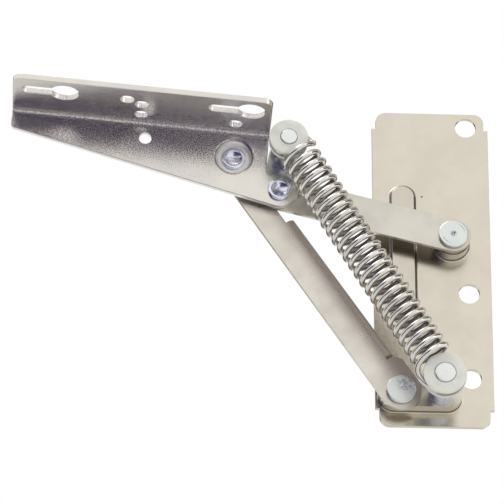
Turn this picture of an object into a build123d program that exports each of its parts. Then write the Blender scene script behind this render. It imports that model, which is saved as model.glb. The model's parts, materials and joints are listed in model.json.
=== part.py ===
from build123d import *
import os
from math import acos, atan2, cos, degrees, hypot, pi, radians, sin, tan

# Sprung lid stay. The base plate stands upright against a cabinet side, its back face in Y = 0,
# and everything else stands out from it towards -Y. X runs along the side panel towards the back
# of the cabinet and Z is up. The origin is midway between the top and bottom screw holes.
# A "height" below is a distance in front of the plate's back face, so it is a place at -Y.

# ---- driving dimensions (mm, degrees) ----
sheet = 1.5                      # plate and arms
bracket_sheet = 2.0
face_gap = 0.1                   # between faces that turn on each other
pivot_fit = 0.05                 # radial clearance of a turning fit
layer_gap = 0.2                  # between the two arms where they cross

plate_width = 40.4
plate_left = -32.7               # left edge, from the line of screw holes
plate_above_holes = 5.3          # top edge above the top screw hole's centre
plate_below_holes = 17.9         # lower edge below the bottom screw hole's centre
plate_corner_radius = 3.4
plate_step_width = 1.4           # the ends are this much narrower at each side
plate_step_height = 6.3
screw_spacing = 96.0             # top hole to bottom hole
middle_screw_drop = 64.0         # middle hole below the top one
screw_hole_radius = 3.65
bead_width = 9.2                 # raised stadium bead
bead_height = 1.3
bead_top = 24.9
bead_bottom = -28.0
bead_from_left_edge = 10.3       # centre line
bead_wall = 1.5                  # bead's outline to the groove's behind it
bead_side_angle = 30.0
bead_edge_radius = 0.5           # outside, round its top

short_pivot_x = -5.9             # short arm's pivot on the plate
short_pivot_z = 2.4
long_pivot_x = -24.5             # long arm's pivot on the plate
long_pivot_rise = 10.4           # above the plate's lower edge
boss_height = 4.8
boss_wall = 1.2
foot_radius = 0.6                # round the feet of the bosses and the bead
short_boss_radius = 6.1
long_boss_radius = 5.2           # ends of the stadium boss
long_boss_length = 17.9          # between its end centres
long_boss_overhang = 2.1         # left end centre, left of the long arm's pivot

short_arm_length = 61.4
short_arm_angle = 166.2          # open position, from +X
short_arm_width = 12.2
long_arm_length = 102.1
long_arm_angle = 123.8           # open position, from +X
long_arm_foot_radius = 7.0
long_arm_edge = 6.45             # centre line to the flat long edge
rib_bend_line = 2.4              # centre line to the start of the rib's bend
rib_bend_radius = 3.6            # outside
rib_start = 13.0                 # along the arm from its lower pivot
rib_end = 73.0
rib_depth = 4.4                  # back from the arm's front face
rib_corner_radius = 0.7          # free corners of its leg
rib_relief_width = 1.2           # gap between the flat edge and each end of the rib
tip_root_radius = 3.0            # inside corner where the rounded tip meets the straight edge
shoulder_share = 0.8             # rounding of the foot's shoulder, as a share of its width
ear_reach = 14.0                 # short arm's outer pivot to the upper spring post
ear_angle = 79.7                 # open position, from +X
ear_root_radius = 7.0            # inside corner between ear and arm

bracket_tilt = -4.9              # open position, flange from +X
flange_length = 89.0
flange_right = -5.2              # right end, from the short arm's outer pivot
flange_depth = 25.4              # from the web's back face
flange_above_pivot = 22.5        # flange's upper face
flange_corner_radius = 3.4
bend_inside_radius = 1.2
web_end_radius = 6.2             # round the short arm's outer pivot
web_left_drop = 8.3              # web's left edge, from the flange's upper face
web_corner_radius = 2.0
web_neck_radius = 1.5            # inside corner above the rounded end
keyhole_spacing = 64.0
keyhole_right = -12.4            # right keyhole's round end, from the short arm's outer pivot
keyhole_from_edge = 7.3          # centre line to the flange's free edge
keyhole_radius = 5.0
keyhole_slot_width = 4.8
keyhole_slot_reach = 12.2        # round end's centre to the slot's end centre
small_hole_radius = 2.5
small_hole_right = -17.2         # lone hole, from the short arm's outer pivot
small_hole_left = -49.8          # pair of holes in line across the flange
small_hole_third = -54.9
small_hole_back = 17.4           # from the flange's free edge
small_hole_front = 10.3
small_hole_third_front = 7.4
web_hole_radius = 2.2
web_hole_left = -47.7
web_hole_above_pivot = 14.8
dimple_radius = 6.6              # mouth of the pressed dimple
dimple_angle = 35.0              # slope of its side
dimple_edge_radius = 0.8         # outside, round its mouth

pin_radius = 2.2                 # rivets through the bracket
pin_head_radius = 4.1
pin_head_height = 1.0
pin_dish_radius = 2.9
pin_dish_depth = 0.5
plate_rivet_radius = 2.5         # rivets through the plate's bosses
plate_rivet_head_radius = 5.1
plate_rivet_head_height = 1.1
punch_mark_radius = 0.5
tail_height = 1.0
tail_radius = 3.5                # closed end of a rivet
post_shank_radius = 2.0          # lower post's shank in the plate
post_tail_radius = 3.0
sunk_tail_radius = 3.3           # flush closed end in the short arm
sunk_tail_depth = 0.8
sunk_tail_angle = 45.0
head_edge = 0.3
spacer_radius = 5.2

spring_height = 22.3             # spring's axis above the plate's back face
lower_post_x = -11.1
lower_post_rise = 9.6            # above the plate's lower edge
lower_post_radius = 4.1
lower_journal_radius = 3.5
lower_roller_radius = 7.3
lower_groove_radius = 5.2
upper_post_radius = 5.5
upper_journal_radius = 2.8
upper_roller_radius = 6.6
upper_groove_radius = 4.4
roller_front_wall = 1.6
roller_back_wall = 1.0
roller_edge = 0.3
journal_stand = 0.2              # post's end, proud of its roller
groove_clearance = 0.15          # wire in the groove, each side
wire_radius = 1.0
coil_radius = 5.2                # to the wire's centre
coil_turns = 24.5                # the half turn faces the two end loops opposite ways
lower_coil_gap = 7.2             # post centre to the coil's first turn, along the axis
upper_coil_gap = 5.9
lower_lead_angle = 45.0          # of the coil's first turn, given up to the bend into the loop
lower_loop_start = 120.0         # where the loop meets its roller's groove, from the axis
lower_loop_wrap = 195.0          # loop's arc round its roller
lower_bend_reach = 6.5           # how far the bend keeps the directions it joins
upper_lead_angle = 42.0
upper_loop_start = 91.0
upper_loop_wrap = 215.0
upper_bend_reach = 5.5
loop_bend_facets = 9
turn_facets = 12                 # straight runs in one turn of the coil
loop_turn_facets = 18            # the same for the larger end loops
wire_facets = 8

# ---- derived places ----
def polar(start, length, angle):
    """Point at a length and an angle from +X, as (x, z)."""
    return (start[0] + length * cos(radians(angle)), start[1] + length * sin(radians(angle)))


plate_bottom = -screw_spacing / 2 - plate_below_holes
plate_height = plate_above_holes + screw_spacing + plate_below_holes
short_pivot = (short_pivot_x, short_pivot_z)
long_pivot = (long_pivot_x, plate_bottom + long_pivot_rise)
lower_post = (lower_post_x, plate_bottom + lower_post_rise)
bracket_pivot = polar(short_pivot, short_arm_length, short_arm_angle)
floating_pivot = polar(long_pivot, long_arm_length, long_arm_angle)
upper_post = polar(bracket_pivot, ear_reach, ear_angle)

boss_top = sheet + boss_height
long_arm_back = boss_top + face_gap
long_arm_front = long_arm_back + sheet
short_arm_back = long_arm_front + layer_gap
short_arm_front = short_arm_back + sheet
web_back = short_arm_front + face_gap
web_front = web_back + bracket_sheet
dimple_depth = web_back - long_arm_front - face_gap
dimple_floor = web_front - dimple_depth
groove_width = 2 * (wire_radius + groove_clearance)
roller_back = spring_height - groove_width / 2 - roller_back_wall
roller_front = spring_height + groove_width / 2 + roller_front_wall


def front_plane(height, centre=(0, 0), angle=0):
    """Drawing plane seen from the front, at a height, turned by an angle about its centre."""
    x_dir = (cos(radians(angle)), 0, sin(radians(angle)))
    return Plane(origin=(centre[0], -height, centre[1]), x_dir=x_dir, z_dir=(0, -1, 0))


def turning_plane(centre):
    """Half-plane for a turned profile: local x is the radius, local y the height."""
    return Plane(origin=(centre[0], 0, centre[1]), x_dir=(1, 0, 0), z_dir=(0, 0, 1))


def axis_through(centre):
    """Pivot line through a centre, pointing forward."""
    return Axis((centre[0], 0, centre[1]), (0, -1, 0))


def save(piece, label):
    """Label a piece and write it as its own file."""
    piece.part.label = label
    export_step(piece.part, f"parts/{label}.step")


def turned(centre, *outline):
    """Solid turned about a pivot line from an outline of (radius, height) points."""
    with BuildPart() as solid:
        with BuildSketch(turning_plane(centre)):
            with BuildLine():
                Polyline(*[(radius, -height) for radius, height in outline], close=True)
            make_face()
        revolve(axis=axis_through(centre))
    return solid


os.makedirs("parts", exist_ok=True)

# ---- base plate: one pressed sheet ----
plate_centre = (plate_left + plate_width / 2, plate_bottom + plate_height / 2)
screw_heights = (screw_spacing / 2, screw_spacing / 2 - middle_screw_drop, -screw_spacing / 2)
bead_length = bead_top - bead_bottom
bead_centre = (plate_left + bead_from_left_edge, bead_bottom + bead_length / 2)
bead_top_centre = (bead_centre[0], -sheet - bead_height, bead_centre[1])
long_boss_centre = (long_pivot[0] - long_boss_overhang + long_boss_length / 2, long_pivot[1])
rivet_hole_radius = plate_rivet_radius + pivot_fit

with BuildPart() as base_plate:
    with BuildSketch(Plane.XZ):
        with Locations(plate_centre):
            Rectangle(plate_width, plate_height - 2 * plate_step_height)
            Rectangle(plate_width - 2 * plate_step_width, plate_height)
        ends = vertices().group_by(Axis.Y)
        fillet(ends[0] + ends[-1], radius=plate_corner_radius)
    extrude(amount=sheet)

    # drawn bosses and raised bead, solid at first
    with BuildSketch(Plane.XZ.offset(sheet)):
        with Locations(short_pivot):
            Circle(short_boss_radius)
        with Locations(long_boss_centre):
            SlotCenterToCenter(long_boss_length, 2 * long_boss_radius)
    extrude(amount=boss_height)
    with BuildSketch(Plane.XZ.offset(sheet)):
        with Locations(bead_centre):
            SlotOverall(bead_length, bead_width, rotation=90)
    extrude(amount=bead_height, taper=bead_side_angle)
    plate_face = faces().filter_by(Plane.XZ).sort_by(Axis.Y)[-2]
    fillet(plate_face.inner_wires().edges(), radius=foot_radius)
    bead_face = faces().filter_by(Plane.XZ).sort_by_distance(bead_top_centre)[0]
    fillet(bead_face.outer_wire().edges(), radius=bead_edge_radius)

    # hollows behind them
    with BuildSketch(Plane.XZ):
        with Locations(short_pivot):
            Circle(short_boss_radius - boss_wall)
        with Locations(long_boss_centre):
            SlotCenterToCenter(long_boss_length, 2 * (long_boss_radius - boss_wall))
    extrude(amount=boss_height, mode=Mode.SUBTRACT)
    with BuildSketch(Plane.XZ):
        with Locations(bead_centre):
            SlotOverall(bead_length - 2 * bead_wall, bead_width - 2 * bead_wall, rotation=90)
    extrude(amount=bead_height, taper=bead_side_angle, mode=Mode.SUBTRACT)

    # screw holes, and holes for the rivets and the lower post
    with BuildSketch(Plane.XZ):
        with Locations(*[(0, height) for height in screw_heights]):
            Circle(screw_hole_radius)
        with Locations(short_pivot, long_pivot):
            Circle(rivet_hole_radius)
        with Locations(lower_post):
            Circle(post_shank_radius)
    extrude(amount=boss_top, mode=Mode.SUBTRACT)
save(base_plate, "base_plate")


# ---- rivets, spacer and lower post, held in the plate ----
boss_inside = boss_top - sheet


def closed_tail(radius, shank_radius, seat):
    """Outline of a rivet's closed end, from the axis to the shank where it leaves its seat."""
    end = seat - tail_height
    return (0, end), (radius, end), (radius, seat), (shank_radius, seat)


def flat_head(shank_radius, radius, bottom, height):
    """Outline of a flat rivet head with a chamfered rim, ending at its face's rim."""
    top = bottom + height
    rim = radius - head_edge
    return (shank_radius, bottom), (radius, bottom), (radius, top - head_edge), (rim, top)


def plate_rivet(centre, head_bottom):
    """Rivet closed inside a boss, with a flat head and a punch mark in the middle of it."""
    height = plate_rivet_head_height
    top = head_bottom + height
    return turned(
        centre,
        *closed_tail(tail_radius, plate_rivet_radius, boss_inside),
        *flat_head(plate_rivet_radius, plate_rivet_head_radius, head_bottom, height),
        (punch_mark_radius, top),
        (0, top - punch_mark_radius),
    )


short_arm_rivet = plate_rivet(short_pivot, short_arm_front + face_gap)
save(short_arm_rivet, "short_arm_rivet")
long_arm_rivet = plate_rivet(long_pivot, long_arm_front + face_gap)
save(long_arm_rivet, "long_arm_rivet")

# the spacer lifts the short arm clear of the long one
with BuildPart() as spacer:
    with BuildSketch(Plane.XZ.offset(boss_top)):
        with Locations(short_pivot):
            Circle(spacer_radius)
            Circle(rivet_hole_radius, mode=Mode.SUBTRACT)
    extrude(amount=short_arm_back - face_gap - boss_top)
save(spacer, "short_arm_spacer")

lower_spring_post = turned(
    lower_post,
    *closed_tail(post_tail_radius, post_shank_radius, boss_inside),
    (post_shank_radius, boss_top),
    (lower_post_radius, boss_top),
    (lower_post_radius, roller_back),
    (lower_journal_radius, roller_back),
    (lower_journal_radius, roller_front + journal_stand - head_edge),
    (lower_journal_radius - head_edge, roller_front + journal_stand),
    (0, roller_front + journal_stand),
)
save(lower_spring_post, "lower_spring_post")


# ---- short arm: bell crank with an ear for the spring ----
with BuildPart() as short_arm:
    for ends in ((short_pivot, bracket_pivot), (bracket_pivot, upper_post)):
        with BuildSketch(Plane.XZ.offset(short_arm_back)):
            with Locations(*ends):
                Circle(short_arm_width / 2)
            make_hull()
        extrude(amount=sheet)
    # inside corner, between the ear and the way back along the arm
    corner_angle = (short_arm_angle - 180 + ear_angle) / 2
    corner_place = front_plane(short_arm_back, polar(bracket_pivot, short_arm_width, corner_angle))
    corner_edges = edges().filter_by(Axis.Y).sort_by_distance(corner_place.origin)
    fillet(corner_edges[0], radius=ear_root_radius)
    with BuildSketch(Plane.XZ.offset(short_arm_back)):
        with Locations(short_pivot):
            Circle(rivet_hole_radius)
        with Locations(bracket_pivot):
            Circle(pin_radius)
        with Locations(upper_post):
            Circle(upper_journal_radius)
    extrude(amount=sheet, mode=Mode.SUBTRACT)
    # countersink for the flush tail of the bracket's rivet
    with BuildSketch(Plane.XZ.offset(short_arm_back)):
        with Locations(bracket_pivot):
            Circle(sunk_tail_radius)
    extrude(amount=sunk_tail_depth, taper=sunk_tail_angle, mode=Mode.SUBTRACT)
save(short_arm, "short_arm")

sunk_shank_height = short_arm_back + sunk_tail_depth
sunk_neck_radius = sunk_tail_radius - sunk_tail_depth * tan(radians(sunk_tail_angle))


def dished_head(bottom):
    """Outline of a rivet head with a dished middle, from its underside to the axis."""
    top = bottom + pin_head_height
    return (
        *flat_head(pin_radius, pin_head_radius, bottom, pin_head_height),
        (pin_dish_radius, top),
        (pin_dish_radius - pin_dish_depth, top - pin_dish_depth),
        (0, top - pin_dish_depth),
    )


bracket_rivet = turned(
    bracket_pivot,
    (0, short_arm_back),
    (sunk_tail_radius, short_arm_back),
    (sunk_neck_radius, sunk_shank_height),
    (pin_radius, sunk_shank_height),
    *dished_head(web_front + face_gap),
)
save(bracket_rivet, "bracket_rivet")

upper_spring_post = turned(
    upper_post,
    *closed_tail(tail_radius, upper_journal_radius, short_arm_back),
    (upper_journal_radius, short_arm_front),
    (upper_post_radius, short_arm_front),
    (upper_post_radius, roller_back),
    (upper_journal_radius, roller_back),
    (upper_journal_radius, roller_front + journal_stand - head_edge),
    (upper_journal_radius - head_edge, roller_front + journal_stand),
    (0, roller_front + journal_stand),
)
save(upper_spring_post, "upper_spring_post")


# ---- spring rollers: grooved plastic bushes ----
def spring_roller(centre, journal_radius, groove_radius, roller_radius):
    """Roller on a post's journal, with a groove for the spring's end loop."""
    bore = journal_radius + pivot_fit
    groove_back = roller_back + roller_back_wall
    groove_front = roller_front - roller_front_wall
    return turned(
        centre,
        (bore, roller_back),
        (roller_radius, roller_back),
        (roller_radius, groove_back),
        (groove_radius, groove_back),
        (groove_radius, groove_front),
        (roller_radius, groove_front),
        (roller_radius, roller_front - roller_edge),
        (roller_radius - roller_edge, roller_front),
        (bore, roller_front),
    )


lower_roller = spring_roller(
    lower_post, lower_journal_radius, lower_groove_radius, lower_roller_radius
)
save(lower_roller, "lower_spring_roller")
upper_roller = spring_roller(
    upper_post, upper_journal_radius, upper_groove_radius, upper_roller_radius
)
save(upper_roller, "upper_spring_roller")


# ---- long arm: flat bar with a rib bent back along its right edge ----
def arm_plane(height):
    """Drawing plane at a height: local x up the long arm from its lower pivot, y to its left."""
    return front_plane(height, long_pivot, long_arm_angle)


rib_length = rib_end - rib_start
rib_centre_height = long_arm_front - rib_bend_radius
flat_length = long_arm_length - rib_start + rib_relief_width

with BuildPart() as long_arm:
    with BuildSketch(arm_plane(long_arm_back)):
        Circle(long_arm_foot_radius)
        with Locations((long_arm_length, 0)):
            Circle(long_arm_edge)
        make_hull()
        # the blank stops at the bend line beside the rib, and is as narrow up to the tip
        with Locations((rib_start - rib_relief_width, -rib_bend_line)):
            beside_rib = (Align.MIN, Align.MAX)
            Rectangle(flat_length, long_arm_foot_radius, align=beside_rib, mode=Mode.SUBTRACT)
        with Locations((long_arm_length, 0)):
            Circle(long_arm_edge)
    extrude(amount=sheet)
    shoulder_width = long_arm_foot_radius - rib_bend_line
    corner_roundings = (
        ((rib_start, -long_arm_foot_radius, 0), shoulder_width * shoulder_share),
        ((long_arm_length - long_arm_edge, -rib_bend_line, 0), tip_root_radius),
    )
    for place, rounding in corner_roundings:
        corner = arm_plane(long_arm_back).from_local_coords(place)
        fillet(edges().filter_by(Axis.Y).sort_by_distance(corner)[0], radius=rounding)

    # rib: quarter bend and a short leg, drawn across the arm
    rib_plane = Plane(
        origin=arm_plane(0).from_local_coords((rib_end, 0, 0)),
        x_dir=arm_plane(0).y_dir * -1,
        z_dir=arm_plane(0).x_dir * -1,
    )
    bend_centre = (rib_bend_line, rib_centre_height)
    leg_end = long_arm_front - rib_depth
    inside_radius = rib_bend_radius - sheet
    with BuildSketch(rib_plane):
        with BuildLine():
            outside = CenterArc(bend_centre, rib_bend_radius, 0, 90)
            inside = CenterArc(bend_centre, inside_radius, 0, 90)
            Line(outside @ 1, inside @ 1)
            Polyline(
                outside @ 0,
                (rib_bend_line + rib_bend_radius, leg_end),
                (rib_bend_line + inside_radius, leg_end),
                inside @ 0,
            )
        make_face()
    extrude(amount=rib_length)
    leg_corners = edges().filter_by(Axis((0, 0, 0), arm_plane(0).y_dir)).group_by(Axis.Y)[-1]
    fillet(leg_corners, radius=rib_corner_radius)

    with BuildSketch(arm_plane(long_arm_back)):
        Circle(rivet_hole_radius)
        with Locations((long_arm_length, 0)):
            Circle(pin_radius)
    extrude(amount=sheet, mode=Mode.SUBTRACT)
save(long_arm, "long_arm")


# ---- the floating pivot's rivet, parted between the bracket and the long arm ----
floating_rivet_head = turned(
    floating_pivot,
    (0, long_arm_front + face_gap),
    (pin_radius, long_arm_front + face_gap),
    *dished_head(dimple_floor),
)
save(floating_rivet_head, "floating_rivet_head")

floating_rivet_tail = turned(
    floating_pivot,
    *closed_tail(tail_radius, pin_radius, long_arm_back),
    (pin_radius, long_arm_front),
    (0, long_arm_front),
)
save(floating_rivet_tail, "floating_rivet_tail")


# ---- lid bracket: one bent sheet ----
def bracket_plane(height):
    """Drawing plane at a height: local x along the flange, y across it, from the outer pivot."""
    return front_plane(height, bracket_pivot, bracket_tilt)


def tangent_angle(point, radius, side):
    """Angle round the origin at which a line from the point touches a circle there."""
    return degrees(atan2(point[1], point[0]) + side * acos(radius / hypot(*point)))


flange_under = flange_above_pivot - bracket_sheet
flange_left = flange_right - flange_length
flange_edge = web_back + flange_depth
fold_height = flange_under - bend_inside_radius
web_corner = (flange_left, flange_above_pivot - web_left_drop)
end_start = tangent_angle(web_corner, web_end_radius, 1)
end_stop = degrees(acos(flange_right / web_end_radius)) + 360
keyhole_height = flange_edge - keyhole_from_edge

with BuildPart() as lid_bracket:
    # web, with its rounded end round the short arm's outer pivot
    with BuildSketch(bracket_plane(web_back)):
        with BuildLine():
            rounded_end = CenterArc((0, 0), web_end_radius, end_start, end_stop - end_start)
            Polyline(
                rounded_end @ 1,
                (flange_right, fold_height),
                (flange_left, fold_height),
                web_corner,
                rounded_end @ 0,
            )
        make_face()
        fillet(vertices().sort_by_distance(web_corner)[0], radius=web_corner_radius)
        fillet(vertices().sort_by_distance(rounded_end @ 1)[0], radius=web_neck_radius)
    extrude(amount=bracket_sheet)

    # flange and fold, drawn across the bracket
    right_end = bracket_plane(0).from_local_coords((flange_right, 0, 0))
    left_dir = bracket_plane(0).x_dir * -1
    with BuildSketch(Plane(origin=right_end, x_dir=(0, -1, 0), z_dir=left_dir)):
        with BuildLine():
            fold_centre = (web_front + bend_inside_radius, fold_height)
            inside = CenterArc(fold_centre, bend_inside_radius, 90, 90)
            outside = CenterArc(fold_centre, bend_inside_radius + bracket_sheet, 90, 90)
            Line(inside @ 1, outside @ 1)
            Polyline(
                outside @ 0,
                (flange_edge, flange_above_pivot),
                (flange_edge, flange_under),
                inside @ 0,
            )
        make_face()
    extrude(amount=flange_length)
    free_corners = edges().filter_by(Axis((0, 0, 0), bracket_plane(0).y_dir)).group_by(Axis.Y)[0]
    fillet(free_corners, radius=flange_corner_radius)

    # keyholes and round holes through the flange; local y is the height
    flange_top = bracket_plane(0).from_local_coords((0, flange_above_pivot, 0))
    down_dir = bracket_plane(0).y_dir * -1
    with BuildSketch(Plane(origin=flange_top, x_dir=bracket_plane(0).x_dir, z_dir=down_dir)):
        for round_x in (keyhole_right, keyhole_right - keyhole_spacing):
            with Locations((round_x, keyhole_height)):
                Circle(keyhole_radius)
            with Locations((round_x - keyhole_slot_reach / 2, keyhole_height)):
                SlotCenterToCenter(keyhole_slot_reach, keyhole_slot_width)
        with Locations(
            (small_hole_right, flange_edge - small_hole_back),
            (small_hole_left, flange_edge - small_hole_back),
            (small_hole_left, flange_edge - small_hole_front),
            (small_hole_third, flange_edge - small_hole_third_front),
        ):
            Circle(small_hole_radius)
    extrude(amount=bracket_sheet, mode=Mode.SUBTRACT)

    # dimple pressed back to the long arm, and the web's holes
    dimple_plane = front_plane(web_back, floating_pivot, bracket_tilt)
    with BuildSketch(dimple_plane):
        Circle(dimple_radius)
    extrude(amount=-dimple_depth, taper=dimple_angle)
    with BuildSketch(turning_plane(floating_pivot)):
        with BuildLine():
            Polyline(
                (0, -dimple_floor),
                (dimple_radius - dimple_depth * tan(radians(dimple_angle)), -dimple_floor),
                (dimple_radius, -web_front),
                (dimple_radius + dimple_edge_radius, -web_front),
                (dimple_radius + dimple_edge_radius, -web_front - dimple_depth),
                (0, -web_front - dimple_depth),
                close=True,
            )
        make_face()
        mouth = vertices().sort_by_distance((dimple_radius, -web_front))[0]
        fillet(mouth, radius=dimple_edge_radius)
    revolve(axis=axis_through(floating_pivot), mode=Mode.SUBTRACT)
    with BuildSketch(dimple_plane.offset(-dimple_depth)):
        Circle(pin_radius)
    extrude(amount=bracket_sheet, mode=Mode.SUBTRACT)
    with BuildSketch(bracket_plane(web_back)):
        Circle(pin_radius + pivot_fit)
        with Locations((web_hole_left, web_hole_above_pivot)):
            Circle(web_hole_radius)
    extrude(amount=bracket_sheet, mode=Mode.SUBTRACT)
save(lid_bracket, "lid_bracket")


# ---- tension spring: one wire, coiled, with a loop round each roller ----
spring_vector = (upper_post[0] - lower_post[0], upper_post[1] - lower_post[1])
spring_length = hypot(*spring_vector)
spring_plane = Plane(
    origin=(lower_post[0], -spring_height, lower_post[1]),
    x_dir=(spring_vector[0], 0, spring_vector[1]),
    z_dir=(0, -1, 0),
)
coil_pitch = (spring_length - lower_coil_gap - upper_coil_gap) / coil_turns


def coil_point(angle, gap=lower_coil_gap):
    """Point of the coil at an angle turned from its start, in the spring's own plane."""
    turn = radians(angle)
    along = gap + coil_pitch * angle / 360
    return Vector(along, coil_radius * cos(turn), coil_radius * sin(turn))


def coil_direction(angle):
    """Direction of the coil's wire, towards the upper post."""
    turn = radians(angle)
    return Vector(coil_pitch / (2 * pi), -coil_radius * sin(turn), coil_radius * cos(turn)).normalized()


def loop_points(radius, start_angle, wrap, lead_angle, reach, gap):
    """Points from a loop's free end round its roller and up to the coil, at the lower post."""
    facets = round(loop_turn_facets * wrap / 360)
    loop = []
    for step in range(facets, -1, -1):
        turn = radians(start_angle + wrap * step / facets)
        loop.append(Vector(radius * cos(turn), radius * sin(turn), 0))
    start = radians(start_angle)
    leaving = Vector(sin(start), -cos(start), 0)
    coil_start = coil_point(lead_angle, gap)
    first_handle = loop[-1] + leaving * reach
    last_handle = coil_start - coil_direction(lead_angle) * reach
    bend = []
    for step in range(1, loop_bend_facets):
        along = step / loop_bend_facets
        back = 1 - along
        bend.append(
            loop[-1] * back**3
            + first_handle * (3 * back**2 * along)
            + last_handle * (3 * back * along**2)
            + coil_start * along**3
        )
    return loop + bend


def turned_over(point):
    """The same point seen from the other end of the spring, for its upper loop."""
    return Vector(spring_length - point.X, -point.Y, point.Z)


lower_loop = loop_points(
    lower_groove_radius + groove_clearance + wire_radius,
    lower_loop_start,
    lower_loop_wrap,
    lower_lead_angle,
    lower_bend_reach,
    lower_coil_gap,
)
upper_loop = loop_points(
    upper_groove_radius + groove_clearance + wire_radius,
    upper_loop_start,
    upper_loop_wrap,
    upper_lead_angle,
    upper_bend_reach,
    upper_coil_gap,
)
wound_angle = 360 * coil_turns - lower_lead_angle - upper_lead_angle
coil_steps = round(wound_angle / 360 * turn_facets)
coil_step = wound_angle / coil_steps
coil = [coil_point(lower_lead_angle + coil_step * step) for step in range(coil_steps + 1)]
wire_points = lower_loop + coil + [turned_over(point) for point in reversed(upper_loop)]

with BuildPart() as tension_spring:
    with BuildLine():
        wire_path = Polyline(*[spring_plane.from_local_coords(point) for point in wire_points])
    with BuildSketch(Plane(origin=wire_path @ 0, z_dir=wire_path % 0)):
        RegularPolygon(wire_radius, wire_facets)
    sweep(transition=Transition.RIGHT)
save(tension_spring, "tension_spring")
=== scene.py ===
import json
import logging
from dataclasses import dataclass
from enum import Enum
from math import acos, atan2, ceil, cos, degrees, pi, radians, sin, tan

import bpy
import bmesh
import numpy as np
from mathutils import Euler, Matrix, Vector

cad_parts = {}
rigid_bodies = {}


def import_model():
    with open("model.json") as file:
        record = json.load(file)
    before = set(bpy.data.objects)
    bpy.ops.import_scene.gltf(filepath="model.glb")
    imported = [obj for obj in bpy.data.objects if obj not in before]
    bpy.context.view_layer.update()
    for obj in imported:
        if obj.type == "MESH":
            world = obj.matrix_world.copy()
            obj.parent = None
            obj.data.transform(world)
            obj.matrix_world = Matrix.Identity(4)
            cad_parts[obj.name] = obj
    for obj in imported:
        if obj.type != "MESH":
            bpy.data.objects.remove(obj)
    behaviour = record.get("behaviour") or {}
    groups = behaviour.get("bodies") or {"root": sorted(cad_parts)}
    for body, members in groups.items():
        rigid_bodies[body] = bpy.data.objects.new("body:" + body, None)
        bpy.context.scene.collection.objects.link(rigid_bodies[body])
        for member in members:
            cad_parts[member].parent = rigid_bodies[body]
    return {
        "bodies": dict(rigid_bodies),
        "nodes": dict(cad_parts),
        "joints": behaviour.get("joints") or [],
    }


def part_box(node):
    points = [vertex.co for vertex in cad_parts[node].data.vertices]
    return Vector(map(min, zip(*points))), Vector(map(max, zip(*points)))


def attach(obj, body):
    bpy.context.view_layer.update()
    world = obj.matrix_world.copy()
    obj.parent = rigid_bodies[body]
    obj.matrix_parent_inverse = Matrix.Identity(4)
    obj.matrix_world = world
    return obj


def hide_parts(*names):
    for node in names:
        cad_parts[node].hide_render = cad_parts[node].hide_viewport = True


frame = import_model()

logging.basicConfig(level=logging.INFO, format="%(message)s")
LOG = logging.getLogger("lid_stay")

MM = 0.001
FINEST = 112
FINE = 96
PLAIN = 72
Colour = tuple[float, float, float]
Point = tuple[float, float]
Place = tuple[float, float, float]
Corner = tuple[float, float, float]
Socket = bpy.types.NodeSocket
Outputs = bpy.types.bpy_prop_collection
Inputs = dict[str | int, Socket | float | tuple[float, ...] | None]


class Slot(Enum):
    """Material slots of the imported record."""

    PLATE = "plate"
    ARMS = "arms"
    BRACKET = "bracket"
    RIVET = "rivet"
    WIRE = "spring_wire"
    ROLLER = "roller"


class Body(Enum):
    """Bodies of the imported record."""

    BASE = "base"
    SHORT_ARM = "short_arm"
    LONG_ARM = "long_arm"
    BRACKET = "lid_bracket"
    SPRING = "spring"


# ---- shader nodes ----
def add_node(tree: bpy.types.NodeTree, kind: str, inputs: Inputs, **settings: str) -> Outputs:
    """New node in a tree, with its settings, its joined inputs and its plain ones.

    Args:
        tree: the tree.
        kind: the node's type, after the ShaderNode that every type begins with.
        inputs: for each input a socket to join, a plain value, or None to leave it alone.
        settings: the node's own settings.

    Returns:
        The node's outputs.
    """
    node = tree.nodes.new("ShaderNode" + kind)
    for name, value in settings.items():
        setattr(node, name, value)
    for name, value in inputs.items():
        socket = node.inputs[name]
        if isinstance(value, Socket):
            tree.links.new(value, socket)
        elif value is not None:
            socket.default_value = (*value, 1.0) if socket.type == "RGBA" else value
    return node.outputs


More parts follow.
